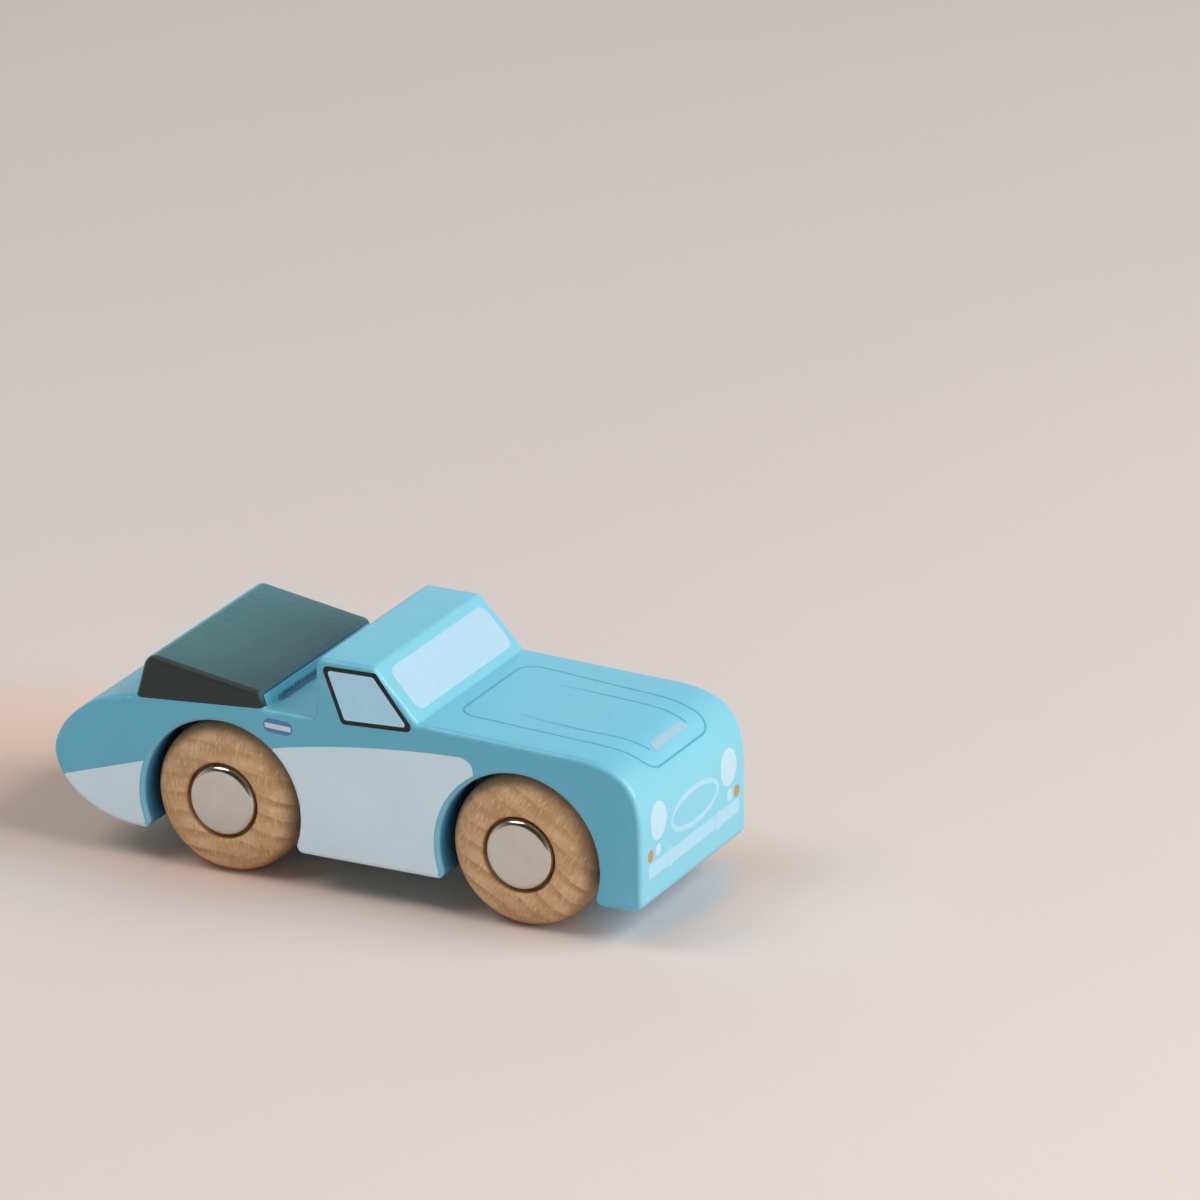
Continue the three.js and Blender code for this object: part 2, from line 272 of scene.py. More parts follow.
class CarStageSettings(bpy.types.PropertyGroup):
    """Floor and light"""

    floor: colour("Floor", "Pale floor", srgb(216, 206, 203))
    # The warmer and the cooler floor colours are painted shadow tones: warm round the car, cool under the
    # nose.
    floor_warm_shadow: colour("Floor Near", "Warmer floor round the car", srgb(226, 198, 184))
    floor_shade: colour("Floor Shade", "Cooler floor under the nose", srgb(198, 201, 207))
    sky: bpy.props.FloatProperty(
        name="Sky", description="Level of the even light from all round", min=0, default=0.45
    )
    key: power("Key", "Power of the soft lamp ahead of the nose", 20.5)
    fill: power("Fill", "Power of the wide panel beside the car", 2.2)
    top: power("Top", "Power of the small lamp overhead", 3.0)
    sheen: power("Sheen", "Power of the wide panel behind", 3.0)


# Curves of the side profile


def unit(vector):
    """A vector divided by its own length."""
    return vector / np.linalg.norm(vector, axis=-1, keepdims=True)


def arc(centre, radius, start, stop, steps):
    """Points of a circle about a centre, evenly from one angle to another."""
    angle = np.linspace(start, stop, steps + 1)
    return centre + radius * np.stack([np.cos(angle), np.sin(angle)], -1)


def corner_arc(before, corner, after, radius, steps=ARC_STEPS):
    """Arc that touches two lines near their corner: the centre lies one radius from both lines."""
    into, out = unit(corner - before), unit(after - corner)
    turn = math.atan2(into[0] * out[1] - into[1] * out[0], into @ out)
    side = math.copysign(1, turn)
    across = np.array([-into[1], into[0]]) * side
    centre = corner - into * radius * math.tan(abs(turn) / 2) + across * radius
    start = math.atan2(-across[1], -across[0])
    return arc(centre, radius, start, start + turn, steps)


def cubic(start, pull, push, stop, steps=CURVE_STEPS):
    """Cubic curve: the four points weighted by the four terms of (1 - t + t) cubed."""
    t = np.linspace(0, 1, steps + 1)[:, None]
    return (1 - t) ** 3 * start + 3 * (1 - t) ** 2 * t * pull + 3 * (1 - t) * t**2 * push + t**3 * stop


def arch_curve(middle, rear_z, front_z, foot):
    """Wheel arch from foot to foot: a circle about its middle, joined to the underside by a small circle
    at each foot, which touches both, so that its centre lies one arch radius plus one foot radius from
    the middle."""
    reach = ARCH_RADIUS + foot
    feet = []
    for side, under in ((-1, rear_z), (1, front_z)):
        height = under + foot
        feet.append(np.array([middle[0] + side * math.sqrt(reach**2 - (height - middle[1]) ** 2), height]))
    lean = [math.atan2(middle[1] - f[1], abs(middle[0] - f[0])) for f in feet]
    rear = arc(feet[0], foot, -math.pi / 2, lean[0], ARC_STEPS)
    over = arc(middle, ARCH_RADIUS, math.pi + lean[0], -lean[1], ARCH_STEPS)
    front = arc(feet[1], foot, math.pi - lean[1], 1.5 * math.pi, ARC_STEPS)
    return np.vstack([rear, over[1:-1], front])


class Outline:
    """Side profile of the block, anticlockwise as seen from the right side, with the arches cut out."""

    def __init__(self, body):
        foot = body.foot_round / MM
        nose_x = BODY_HIGH[0] - 2 * body.print_lift / MM
        nose_foot = np.array([nose_x, NOSE_TOP_Z])
        tail_tip = np.array([TAIL_X, TAIL_TIP_Z])
        run = DECK[0] - TAIL_X
        chin = np.array([nose_x, CHIN_Z])
        crown_mid = (CROWN_FRONT + 2 * CROWN) / 3, (CROWN_REAR + 2 * CROWN) / 3
        tail_top = cubic(
            DECK, DECK - [run * TAIL_PULL, 0],
            tail_tip + [0, (DECK[1] - TAIL_TIP_Z) * TAIL_PULL], tail_tip,
        )
        tail_under_end = np.array([DECK[0], TAIL_UNDER_Z])
        tail_under = cubic(
            tail_tip, tail_tip - [0, (TAIL_TIP_Z - TAIL_UNDER_Z) * TAIL_PULL],
            tail_under_end - [run * TAIL_UNDER_PULL, 0], tail_under_end,
        )
        sections = {
            "tail_under": tail_under[1:],
            "rear_arch": arch_curve(ARCHES["rear"], TAIL_UNDER_Z, SILL_Z, foot),
            "front_arch": arch_curve(ARCHES["front"], SILL_Z, CHIN_Z, foot),
            "chin": corner_arc(chin - [1, 0], chin, nose_foot, CHIN_ROUND),
            "nose": cubic(
                nose_foot, nose_foot + [0, NOSE_FACE_REACH],
                BONNET_END + [BONNET_END_REACH, 0], BONNET_END,
            ),
            "screen_foot": corner_arc(BONNET_END, SCREEN_FOOT, SCREEN_FRONT, SCREEN_FOOT_ROUND),
            "screen_front": corner_arc(SCREEN_FOOT, SCREEN_FRONT, SCREEN_REAR, SCREEN_FRONT_ROUND),
            "screen_rear": corner_arc(SCREEN_FRONT, SCREEN_REAR, COCKPIT_FRONT, SCREEN_REAR_ROUND),
            "cockpit": corner_arc(SCREEN_REAR, COCKPIT_FRONT, LIP_FOOT, COCKPIT_ROUND),
            "lip_foot": corner_arc(COCKPIT_FRONT, LIP_FOOT, LIP_TOP, COCKPIT_ROUND),
            "lip_top": corner_arc(LIP_FOOT, LIP_TOP, CROWN_FRONT, LIP_ROUND),
            "crown": cubic(CROWN_FRONT, *crown_mid, CROWN_REAR, ARC_STEPS),
            "deck": corner_arc(CROWN_REAR, DECK, DECK - [1, 0], DECK_ROUND),
            "tail_top": tail_top[tail_top[:, 0] < DECK[0] - DECK_ROUND],
        }
        self.points = np.vstack(list(sections.values()))
        sizes = np.cumsum([0] + [len(part) for part in sections.values()])
        self.spans = {name: (sizes[k], sizes[k + 1] - 1) for k, name in enumerate(sections)}
        self.count = len(self.points)
        ahead = unit(np.roll(self.points, -1, 0) - self.points)
        tangent = unit(ahead + np.roll(ahead, 1, 0))
        self.normals = np.stack([tangent[:, 1], -tangent[:, 0]], -1)
        self.round = np.full(self.count, body.edge_round / MM)
        self.wear_and_highlight = np.zeros(self.count)
        for name in ("rear_arch", "front_arch"):
            first, last = self.spans[name]
            self.round[first : last + 1] = body.arch_round / MM
        # Paler corners of the screen, lip and chin: partly wear, partly a painted highlight where the
        # rounded edge catches the light.
        for name in ("screen_front", "screen_rear", "lip_top", "chin"):
            first, last = self.spans[name]
            self.wear_and_highlight[first : last + 1] = np.sin(np.linspace(0, math.pi, last + 1 - first))

    def nearest(self, name, height, half):
        """Column of one half of a section whose height is nearest to the one asked for."""
        first, last = self.spans[name]
        middle = (first + last) // 2
        low, high = (first, middle) if half == "first" else (middle, last)
        return low + int(np.argmin(np.abs(self.points[low : high + 1, 1] - height)))

    def run(self, start, stop):
        """Columns from one to another, going on round the loop."""
        return np.arange(start, stop + 1 if stop >= start else stop + self.count + 1) % self.count

    def side_drop(self, places):
        """How far the rounded side lies below its flat at each place: the quarter circle of the edge,
        taken from the distance to the nearest piece of the outline."""
        start = self.points
        along = np.roll(start, -1, 0) - start
        offset = places[:, None, :] - start
        share = np.clip((offset * along).sum(-1) / (along**2).sum(-1), 0, 1)
        gap = np.linalg.norm(offset - share[..., None] * along, axis=-1)
        nearest = np.argmin(gap, 1)
        radius = self.round[nearest]
        inward = np.clip(radius - gap.min(1), 0, radius)
        return radius - np.sqrt(radius**2 - inward**2)


# Mesh makers


def new_piece(name, vertices, faces, body, materials, paints=None, replaced=()):
    """Puts vertices in millimetres and index lists into a smooth mesh that rides on a body."""
    mesh = bpy.data.meshes.new(name)
    mesh.from_pydata((vertices * MM).tolist(), [], faces)
    for material in materials:
        mesh.materials.append(material)
    if paints is not None:
        mesh.polygons.foreach_set("material_index", np.asarray(paints, np.int32))
    mesh.polygons.foreach_set("use_smooth", np.ones(len(mesh.polygons), bool))
    mesh.set_sharp_from_angle(angle=math.radians(32))
    if mesh.validate():
        raise RuntimeError(f"{name} has broken faces")
    piece = bpy.data.objects.new(name, mesh)
    bpy.context.scene.collection.objects.link(piece)
    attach(piece, body)
    if replaced:
        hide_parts(*replaced)
    return piece


def grid_faces(rows, columns, close_rows=False, close_columns=False):
    """Four-cornered faces of a grid of points, each joined to the next row and the next column."""
    row = np.arange(rows if close_rows else rows - 1)[:, None]
    column = np.arange(columns if close_columns else columns - 1)[None, :]
    below, beside = (row + 1) % rows, (column + 1) % columns
    corners = (row, column), (below, column), (below, beside), (row, beside)
    numbers = np.broadcast_arrays(*(down * columns + along for down, along in corners))
    return np.stack(numbers, -1).reshape(-1, 4)


def ring_faces(outer, inner):
    """Four-cornered faces between two closed loops of as many points."""
    return np.stack([outer, inner, np.roll(inner, -1), np.roll(outer, -1)], -1)


def closed_faces(rows, count):
    """Faces of a stack of rings with a fan round a pole at each end: the first and the last ring's poles
    are the two points after the rings."""
    ring = np.arange(count)
    step = np.roll(ring, -1)
    last = (rows - 1) * count
    first_fan = np.stack([ring, step, np.full(count, rows * count)], -1)
    last_fan = np.stack([last + step, last + ring, np.full(count, rows * count + 1)], -1)
    skin = grid_faces(rows, count, close_columns=True)[:, ::-1]
    return skin.tolist() + first_fan.tolist() + last_fan.tolist()


class Draft:
    """A mesh under way: points with their edge wear and painted edge highlight, and faces with their paint.
    """

    def __init__(self):
        self.vertices = []
        self.wear_and_highlight = []
        self.faces = []
        self.paints = []
        self.total = 0

    def points(self, points, wear_and_highlight=0.0):
        """Keeps points and gives back their numbers."""
        self.vertices.append(points)
        self.wear_and_highlight.append(np.broadcast_to(wear_and_highlight, len(points)))
        self.total += len(points)
        return np.arange(self.total - len(points), self.total)

    def skin(self, faces, paint):
        """Keeps faces, with one paint for all of them or one for each."""
        self.faces += [np.asarray(face).tolist() for face in faces]
        self.paints += np.broadcast_to(paint, len(faces)).tolist()


def paint_cuts(line):
    """Columns of the outline where one paint meets the next."""
    first, last = line.spans["tail_under"]
    return {
        "tail": first + int(np.argmin(np.abs(line.points[first:last, 1] - TAIL_LINE_Z))),
        "tail_arch": line.nearest("rear_arch", TAIL_LINE_ARCH_Z, "first"),
        "panel_rear": line.nearest("rear_arch", PANEL_REAR_Z, "last"),
        "panel_front": line.nearest("front_arch", PANEL_FRONT_Z, "first"),
        "lip": line.spans["lip_foot"][1],
        "deck": line.spans["deck"][0],
    }


def shell_paints(line, cuts, rows):
    """Paint of the shell's faces: rows from one side over its rounded edge to the wall, and back again."""
    side = np.full(line.count, BLUE)
    side[cuts["tail"] : cuts["tail_arch"]] = WHITE
    side[cuts["panel_rear"] : cuts["panel_front"]] = WHITE
    side[cuts["lip"] : cuts["deck"]] = DARK
    edge = side.copy()
    edge[line.spans["rear_arch"][0] + ARC_STEPS // 3 : cuts["panel_rear"]] = BLUE
    edge[line.spans["front_arch"][0] + ARC_STEPS // 3 : line.spans["front_arch"][1]] = BLUE
    wall = np.full(line.count, BLUE)
    wall[line.spans["lip_top"][0] : cuts["deck"]] = DARK
    for end in ENDS:
        wall[slice(*line.spans[f"{end}_arch"])] = DEEP
    layers = np.array([side, *[edge] * ROUND_RINGS, wall, wall])
    middle = rows // 2 - 1
    return layers[middle - np.abs(np.arange(rows - 1) - middle)]


def lay_sides(draft, line, cuts, rims, flat):
    """Flat sides: one face for each stretch of paint, with the curved top of the pale panel between two."""
    curve = np.vstack([
        cubic(flat[cuts["panel_rear"]], *PANEL_PULLS, PANEL_CORNER, PANEL_STEPS)[1:],
        cubic(PANEL_CORNER, *PANEL_CORNER_PULLS, flat[cuts["panel_front"]], ARC_STEPS)[1:-1],
    ])
    regions = (
        (DARK, [("lip", "deck")], 0),
        (WHITE, [("tail", "tail_arch")], 0),
        (WHITE, [("panel_rear", "panel_front")], -1),
        (BLUE, [("panel_front", "lip"), ("deck", "tail"), ("tail_arch", "panel_rear")], 1),
    )
    for side, rim in zip(SIDES, rims):
        cut = draft.points(np.insert(curve, 1, side * SIDE_Y, axis=1))
        for paint, stretches, way in regions:
            loop = [rim[line.run(cuts[start], cuts[stop])] for start, stop in stretches]
            loop = np.concatenate([*loop, cut[::way] if way else cut[:0]])
            draft.skin([loop[::-side]], paint)


def cut_pockets(draft, line, end, rims):
    """Two pockets of one axle: on each side a floor from the arch to the bore, then the bore's wall and the
    underside between the pockets."""
    first, last = line.spans[f"{end}_arch"]
    columns = np.arange(first, last + 1)
    feet = line.points[last], line.points[first]
    under = feet[0] + np.linspace(0, 1, UNDERSIDE_STEPS)[1:-1, None] * (feet[1] - feet[0])
    mouth = np.vstack([line.points[columns], under])
    bore = AXLES[end] + BORE_RADIUS * unit(mouth - AXLES[end])
    mouths, bores = [], []
    for side, rim in zip(SIDES, rims):
        below = draft.points(np.insert(under, 1, side * ARCH_FLOOR_Y, axis=1))
        mouths.append(np.concatenate([rim[columns], below]))
        bores.append(draft.points(np.insert(bore, 1, side * ARCH_FLOOR_Y, axis=1)))
        draft.skin(ring_faces(mouths[-1], bores[-1])[:, ::-side], DEEP)
    near, far = (np.append(loop[len(columns) - 1 :], loop[0]) for loop in mouths)
    draft.skin(ring_faces(*bores), BLUE)
    draft.skin(np.stack([near[:-1], near[1:], far[1:], far[:-1]], -1), BLUE)


def body_shell(line):
    """The block: the profile is carried across the width, pulled in by a quarter circle at each side, and
    the arches stop at their pocket floors, which are rings between the arch and the axle bore."""
    count = line.count
    plain = np.zeros((1, count))
    angle = np.linspace(math.pi / 2, 0, ROUND_RINGS + 1)[:, None]
    inset = np.vstack([line.round + EDGE_STRIP, line.round * (1 - np.cos(angle)), plain])
    depth = np.vstack([plain + SIDE_Y, SIDE_Y - line.round * (1 - np.sin(angle)), plain + ARCH_FLOOR_Y])
    # Paler edges peak halfway round each rounding: partly wear, partly a painted highlight.
    wear_and_highlight = np.maximum(np.vstack([plain, np.sin(2 * angle) + plain, plain]), line.wear_and_highlight)
    inset, wear_and_highlight = np.vstack([inset, inset[::-1]]), np.vstack([wear_and_highlight, wear_and_highlight[::-1]])
    across = np.vstack([-depth, depth[::-1]])
    flat = line.points - inset[..., None] * line.normals
    rows = len(flat)
    half = rows // 2
    draft = Draft()
    shell = np.stack([flat[..., 0], across, flat[..., 1]], -1)
    numbers = draft.points(shell.reshape(-1, 3), wear_and_highlight.reshape(-1)).reshape(rows, count)
    cuts = paint_cuts(line)
    keep = np.ones((rows - 1, count), bool)
    for end in ENDS:
        keep[half - 1, slice(*line.spans[f"{end}_arch"])] = False
    quads = grid_faces(rows, count, close_columns=True).reshape(rows - 1, count, 4)
    draft.skin(quads[keep], shell_paints(line, cuts, rows)[keep])
    lay_sides(draft, line, cuts, numbers[[0, -1]], flat[0])
    for end in ENDS:
        cut_pockets(draft, line, end, numbers[half - 1 : half + 1])
    return draft


# Printed ink and turned pieces


def rounded_polygon(corners, radius, steps=PRINT_STEPS):
    """Closed curve round a polygon, with an arc that touches both lines at each corner."""
    before, after = np.roll(corners, 1, 0), np.roll(corners, -1, 0)
    return np.vstack([corner_arc(*trio, radius, steps) for trio in zip(before, corners, after)])


def shrunk(corners, gap):
    """Polygon whose sides lie a gap inside the first one's: each corner moves along both its sides by the
    gap divided by the sine of the corner."""
    into = unit(np.roll(corners, 1, 0) - corners)
    out = unit(np.roll(corners, -1, 0) - corners)
    sine = np.abs(into[:, 0] * out[:, 1] - into[:, 1] * out[:, 0])[:, None]
    return corners + (into + out) * gap / sine


def oval(place, half, points=OVAL_POINTS):
    """Ellipse about a place with the given half sizes."""
    angle = np.linspace(0, 2 * math.pi, points, endpoint=False)
    return place + half * np.stack([np.cos(angle), np.sin(angle)], -1)


def denser(*curves):
    """Closed curves of matching points with more put in between, so that the first one's steps stay under
    a gap."""
    step = np.linalg.norm(np.roll(curves[0], -1, 0) - curves[0], axis=1)
    pieces = np.maximum(np.ceil(step / PRINT_GAP), 1).astype(int)
    start = np.repeat(np.arange(len(pieces)), pieces)
    done = np.arange(len(start)) - np.repeat(np.cumsum(pieces) - pieces, pieces)
    share = (done / np.repeat(pieces, pieces))[:, None]
    return [curve[start] + share * (np.roll(curve, -1, 0) - curve)[start] for curve in curves]


class Print(Draft):
    """Ink laid on a surface: thin closed shells, whose top stands on the paint and base lies in it."""

    def __init__(self, lay, lift):
        super().__init__()
        self.lay = lay
        self.lift = lift

    def keep(self, points, faces, paint):
        start = self.points(points)[0]
        self.skin([np.add(face, start) for face in faces], paint)

    def band(self, outer, inner, paint):
        """Ring between two closed curves: rows of ink from one to the other, closed underneath."""
        outer, inner = denser(outer, inner)
        across = [outer + share * (inner - outer) for share in np.linspace(0, 1, BAND_ROWS)]
        above = [self.lay(row, self.lift) for row in across]
        rows = [self.lay(outer, -self.lift), *above, self.lay(inner, -self.lift)]
        self.keep(np.vstack(rows), grid_faces(len(rows), len(outer), True, True), paint)

    def patch(self, rim, paint):
        """Filled curve: copies of the rim shrink to the middle above, and again below."""
        (rim,) = denser(rim)
        middle = rim.mean(0)
        share = np.linspace(0, 1, PRINT_LEVELS + 1)[1:]
        above = [self.lay(middle + k * (rim - middle), self.lift) for k in share]
        below = [self.lay(middle + k * (rim - middle), -self.lift) for k in share[::-1]]
        poles = [self.lay(middle[None], lift) for lift in (self.lift, -self.lift)]
        self.keep(np.vstack(above + below + poles), closed_faces(len(above + below), len(rim)), paint)

    def ribbon(self, path, half_width, paint):
        """Line along a path: the four-cornered section is carried along it and closed at both ends."""
        across = unit(np.gradient(path, axis=0))[:, ::-1] * [-1, 1] * half_width[:, None]
        left, right = path + across, path - across
        rows = [
            self.lay(left, -self.lift), self.lay(left, self.lift),
            self.lay(right, self.lift), self.lay(right, -self.lift),
        ]
        count = len(path)
        faces = grid_faces(4, count, close_rows=True).tolist()
        ends = np.arange(4) * count
        faces += [ends.tolist(), (ends + count - 1)[::-1].tolist()]
        self.keep(np.vstack(rows), faces, paint)

    def piece(self, name, materials):
        """One object of all the ink kept so far, with every shell turned to face outwards."""
        vertices = np.vstack(self.vertices)
        outward(new_piece(name, vertices, self.faces, "car_body", materials, self.paints))


def outward(piece):
    """Turns the faces of closed shells to point outwards."""
    shell = bmesh.new()
    shell.from_mesh(piece.data)
    bmesh.ops.recalc_face_normals(shell, faces=shell.faces)
    shell.to_mesh(piece.data)
    shell.free()


def side_lay(line, side):
    """Lays (x, z) points on one side of the block, over its rounded edges."""

    def lay(places, lift):
        y = side * (SIDE_Y - line.side_drop(places) + lift)
        return np.stack([places[:, 0], y, places[:, 1]], -1)

    return lay


def front_lay(line):
    """Lays (distance, y) points on the screen, bonnet and nose: the distance runs along the profile,
    forwards from the foot of the screen, and the ink stands off along the profile's normal."""
    columns = np.arange(line.spans["chin"][0], line.spans["screen_front"][1] + 1)[::-1]
    points, normals = line.points[columns], line.normals[columns]
    travelled = np.append(0, np.cumsum(np.linalg.norm(np.diff(points, axis=0), axis=1)))
    foot = sum(line.spans["screen_foot"]) // 2
    travelled -= travelled[int(np.argmax(columns == foot))]

    def lay(places, lift):
        along = [np.interp(places[:, 0], travelled, column) for column in (*points.T, *normals.T)]
        x, z = along[0] + lift * along[2], along[1] + lift * along[3]
        return np.stack([x, places[:, 1], z], -1)

    return lay


def turned(profile, sides, place, hand):
    """Surface of revolution: a profile of (radius, distance along the axle) is carried round the axle."""
    angle = np.linspace(0, 2 * math.pi, sides, endpoint=False)
    radius, along = profile[:, :1], profile[:, 1:]
    x = place[0] + hand * radius * np.cos(angle)
    z = place[1] + radius * np.sin(angle)
    return np.stack([x, hand * along + 0 * x, z], -1).reshape(-1, 3)


def wheel_profile():
    """Closed section of a bun-shaped wheel: back, two quarter ellipses for the rim, face, recess, bore."""
    back_middle = np.array([WHEEL_RADIUS - RIM_BACK[0], WHEEL_BACK_Y + RIM_BACK[1]])
    front_middle = np.array([WHEEL_RADIUS - RIM_FRONT[0], SIDE_Y - RIM_FRONT[1]])
    back = back_middle + RIM_BACK * arc(0, 1, -math.pi / 2, 0, RIM_STEPS)
    front = front_middle + RIM_FRONT * arc(0, 1, 0, math.pi / 2, RIM_STEPS)
    mouth_centre = np.array([RECESS_RADIUS + RECESS_EDGE, SIDE_Y - RECESS_EDGE])
    mouth = arc(mouth_centre, RECESS_EDGE, math.pi / 2, math.pi, ARC_STEPS // 2)
    floor_y = SIDE_Y - RECESS_DEPTH
    rest = np.array([[RECESS_RADIUS, floor_y], [BORE_RADIUS, floor_y], [BORE_RADIUS, WHEEL_BACK_Y]])
    return np.vstack([back, front, mouth, rest])


def cap_profile():
    """Closed section of a pressed cap from the axle line out and back: the inside, the turned-in rim, the
    skirt, the quarter-circle shoulder, and a face that is slightly crowned as a parabola."""
    inner = CAP_RADIUS - CAP_WALL
    lip_y = CAP_RIM_Y + CAP_LIP_HEIGHT
    inside = np.array([[0, CAP_FACE_Y - CAP_WALL], [inner, CAP_FACE_Y - CAP_WALL], [inner, lip_y]])
    rim = np.array([[inner - CAP_LIP, lip_y], [inner - CAP_LIP, CAP_RIM_Y], [CAP_RADIUS, CAP_RIM_Y]])
    flat = CAP_RADIUS - CAP_SHOULDER
    edge_y = CAP_FACE_Y - CAP_CROWN
    shoulder = arc(np.array([flat, edge_y - CAP_SHOULDER]), CAP_SHOULDER, 0, math.pi / 2, RIM_STEPS)
    radius = np.linspace(flat, 0, ARC_STEPS)[1:]
    face = np.stack([radius, CAP_FACE_Y - CAP_CROWN * (radius / flat) ** 2], -1)
    return np.vstack([inside, rim, shoulder, face])


# Finishes


RANGE_ENDS = ("From Min", "From Max", "To Min", "To Max")


class Finish:
    """A material under way: its node tree, with short calls for the nodes that the finishes share."""

    def __init__(self, name):
        self.material = bpy.data.materials.new(name)
        self.material.use_nodes = True
        self.tree = self.material.node_tree
        self.tree.nodes.clear()
        self.shader = self.add("ShaderNodeBsdfPrincipled")
        self.join(self.shader.outputs["BSDF"], self.add("ShaderNodeOutputMaterial").inputs["Surface"])

    def add(self, kind, **settings):
        node = self.tree.nodes.new(kind)
        for setting, value in settings.items():
            setattr(node, setting, value)
        return node

    def join(self, source, socket):
        self.tree.links.new(source, socket)

    def feed(self, socket, value):
        if isinstance(value, bpy.types.NodeSocket):
            self.join(value, socket)
        elif socket.type == "RGBA" and len(value) == 3:
            socket.default_value = (*value, 1)
        else:
            socket.default_value = value

    def set(self, **values):
        for label, value in values.items():
            self.feed(self.shader.inputs[label.replace("_", " ").title().replace("Ior", "IOR")], value)

    def place(self, centre=(0, 0, 0), turn=0.0, stretch=(1, 1, 1)):
        """Object coordinates about a centre, turned about Y and stretched."""
        where = self.add("ShaderNodeTexCoord").outputs["Object"]
        moved = self.add("ShaderNodeMapping", vector_type="TEXTURE")
        self.feed(moved.inputs["Vector"], where)
        self.feed(moved.inputs["Location"], centre)
        self.feed(moved.inputs["Rotation"], (0, turn, 0))
        self.feed(moved.inputs["Scale"], stretch)
        return moved.outputs["Vector"]

    def axes(self, where):
        """The three coordinates of a place, one by one."""
        apart = self.add("ShaderNodeSeparateXYZ")
        self.feed(apart.inputs["Vector"], where)
        return [apart.outputs[axis] for axis in "XYZ"]

    def noise(self, where, scale, detail=3.0, roughness=0.5):
        node = self.add("ShaderNodeTexNoise")
        self.feed(node.inputs["Vector"], where)
        self.feed(node.inputs["Scale"], scale)
        self.feed(node.inputs["Detail"], detail)
        self.feed(node.inputs["Roughness"], roughness)
        return node.outputs["Fac"]

    def maths(self, operation, first, second=0.0, third=0.0):
        node = self.add("ShaderNodeMath", operation=operation)
        for socket, value in zip(node.inputs, (first, second, third)):
            self.feed(socket, value)
        return node.outputs["Value"]

    def squares(self, first, second):
        """The sum of two values' squares."""
        return self.maths("MULTIPLY_ADD", first, first, self.maths("MULTIPLY", second, second))

    def spread(self, value, low, high, to_low=0.0, to_high=1.0, smooth=False):
        """Maps a value between two limits, held at both ends."""
        node = self.add("ShaderNodeMapRange", interpolation_type="SMOOTHSTEP" if smooth else "LINEAR")
        for label, number in zip(RANGE_ENDS, (low, high, to_low, to_high)):
            self.feed(node.inputs[label], number)
        self.feed(node.inputs["Value"], value)
        return node.outputs["Result"]

    def mix(self, share, first, second):
        node = self.add("ShaderNodeMix", data_type="RGBA")
        sockets = {s.identifier: s for s in node.inputs}
        self.feed(sockets["Factor_Float"], share)
        self.feed(sockets["A_Color"], first)
        self.feed(sockets["B_Color"], second)
        return {s.identifier: s for s in node.outputs}["Result_Color"]

    def mottle(self, cloud, tone, darkest, palest):
        """A tone that a noise makes a little darker or paler."""
        return self.mix(self.spread(cloud, 0.3, 0.7), shade(tone, darkest), shade(tone, palest))

    def over(self, share, tone):
        """Lays a share of a tone over the base colour that is there."""
        plain = self.shader.inputs["Base Color"].links[0].from_socket
        self.set(base_color=self.mix(share, plain, tone))

    def relief(self, height, strength, depth):
        node = self.add("ShaderNodeBump")
        self.feed(node.inputs["Height"], height)
        self.feed(node.inputs["Strength"], strength)
        self.feed(node.inputs["Distance"], depth)
        self.join(node.outputs["Normal"], self.shader.inputs["Normal"])


def shade(colour_value, factor):
    """A colour scaled and kept within range."""
    return tuple(min(1.0, channel * factor) for channel in colour_value)


def tinted(colour_value, other, share):
    """A colour moved part of the way to another."""
    return tuple((1 - share) * a + share * b for a, b in zip(colour_value, other))


def paint_finish(name, base, worn_and_highlight_tone, roughness, wear_and_highlight_share, grain):
    """Sprayed paint on wood: soft cloudiness, fine speckle, grain that shows through, and paler edges that
    are partly wear and partly a painted highlight.
    """
    finish = Finish(name)
    cloud = finish.noise(finish.place(), 90, 2)
    speck = finish.noise(finish.place(), 2600, 2)
    fibre = finish.noise(finish.place(stretch=(14, 1, 1)), 1500, 3)
    soft = finish.mottle(cloud, base, 0.98, 1.02)
    bright = shade(tinted(base, (1, 1, 1), 0.1), 1.2)
    dotted = finish.mix(finish.spread(speck, 0.55, 0.78, 0, 0.16), soft, bright)
    # Paler, patchy edges from the mesh's attribute: partly wear, partly a painted highlight along the
    # rounded edges.
    edge = finish.add("ShaderNodeAttribute", attribute_name="edge_wear_and_highlight").outputs["Fac"]
    chip_and_highlight_noise, gloss = finish.noise(finish.place(), 420, 4), finish.noise(finish.place(), 900, 3)
    chipped_and_highlit = finish.maths("MULTIPLY", edge, finish.spread(chip_and_highlight_noise, 0.35, 0.7))
    finish.set(
        base_color=finish.mix(finish.maths("MULTIPLY", chipped_and_highlit, wear_and_highlight_share), dotted, worn_and_highlight_tone),
        roughness=finish.spread(gloss, 0.25, 0.75, roughness - 0.06, roughness + 0.06),
    )
    height = finish.maths("MULTIPLY_ADD", fibre, grain, finish.maths("MULTIPLY", speck, 0.5))
    finish.relief(height, 0.5, 0.14 * MM)
    return finish


